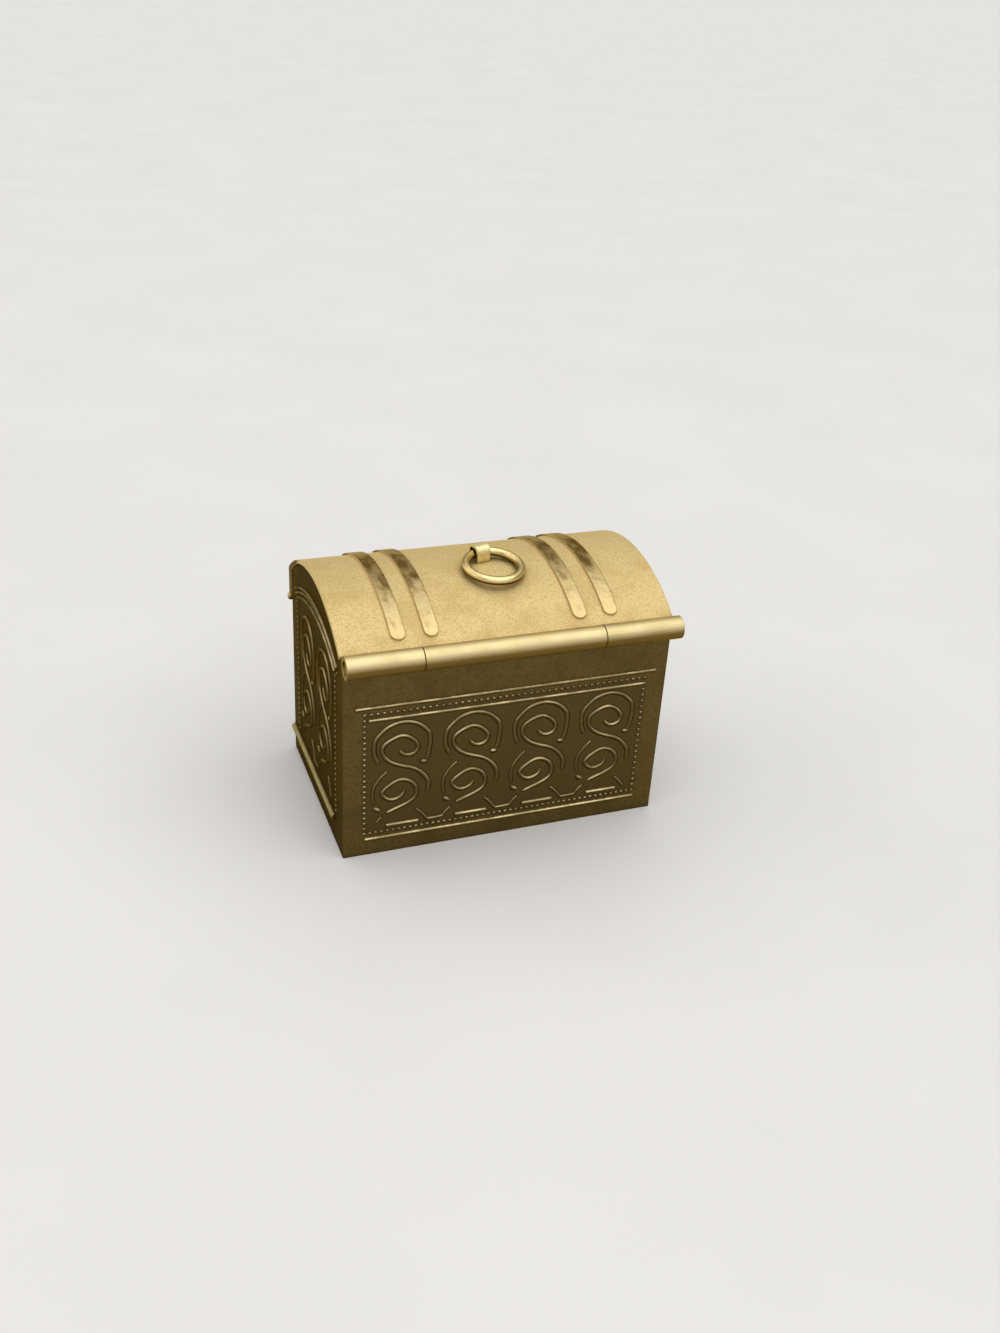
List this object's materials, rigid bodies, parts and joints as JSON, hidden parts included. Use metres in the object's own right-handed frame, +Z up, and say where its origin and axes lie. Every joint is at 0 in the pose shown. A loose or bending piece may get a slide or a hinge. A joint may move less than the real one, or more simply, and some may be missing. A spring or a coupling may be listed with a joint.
{
  "type": "trinket box",
  "caption": "Small rectangular brass chest with a barrel-vaulted lid on a full-length tube hinge, scroll-embossed walls and a pull ring.",
  "frame": {"origin": "centre of the flat bottom of the body, where the box stands", "axes": "+X along the box's length, parallel to the hinge, -Y to the hinge side, +Y to the side that opens, +Z up"},
  "size_m": [0.0727, 0.0509, 0.0578],
  "materials": {
    "sandblasted_brass": "sandblasted and lacquered, fine matte grain",
    "embossed_brass": "embossed in low relief, lacquered, darker ground between bright scrolls",
    "polished_brass": "polished and lacquered"
  },
  "bodies": {
    "box": {"base_plate": "sandblasted_brass", "hinge_side_wall": "embossed_brass", "opening_side_wall": "embossed_brass", "left_end_panel": "embossed_brass", "right_end_panel": "embossed_brass", "left_base_moulding": "polished_brass", "right_base_moulding": "polished_brass", "hinge_knuckle_left": "polished_brass", "hinge_knuckle_right": "polished_brass", "hinge_pin": "polished_brass"},
    "lid": {"lid_shell": "sandblasted_brass", "lid_edge_bead": "polished_brass", "hinge_knuckle_lid": "polished_brass", "ring_eye": "polished_brass"},
    "ring": {"pull_ring": "polished_brass"}
  },
  "joints": [
    {"name": "lid_hinge", "type": "hinge", "parent": "box", "child": "lid", "pos_m": [0, -0.024, 0.0459], "axis": [1, 0, 0], "range_deg": [0, 230]},
    {"name": "ring_hinge", "type": "hinge", "parent": "lid", "child": "ring", "pos_m": [0, 0, 0.05595], "axis": [-0.9781, -0.2079, 0], "range_deg": [0, 195]}
  ]
}
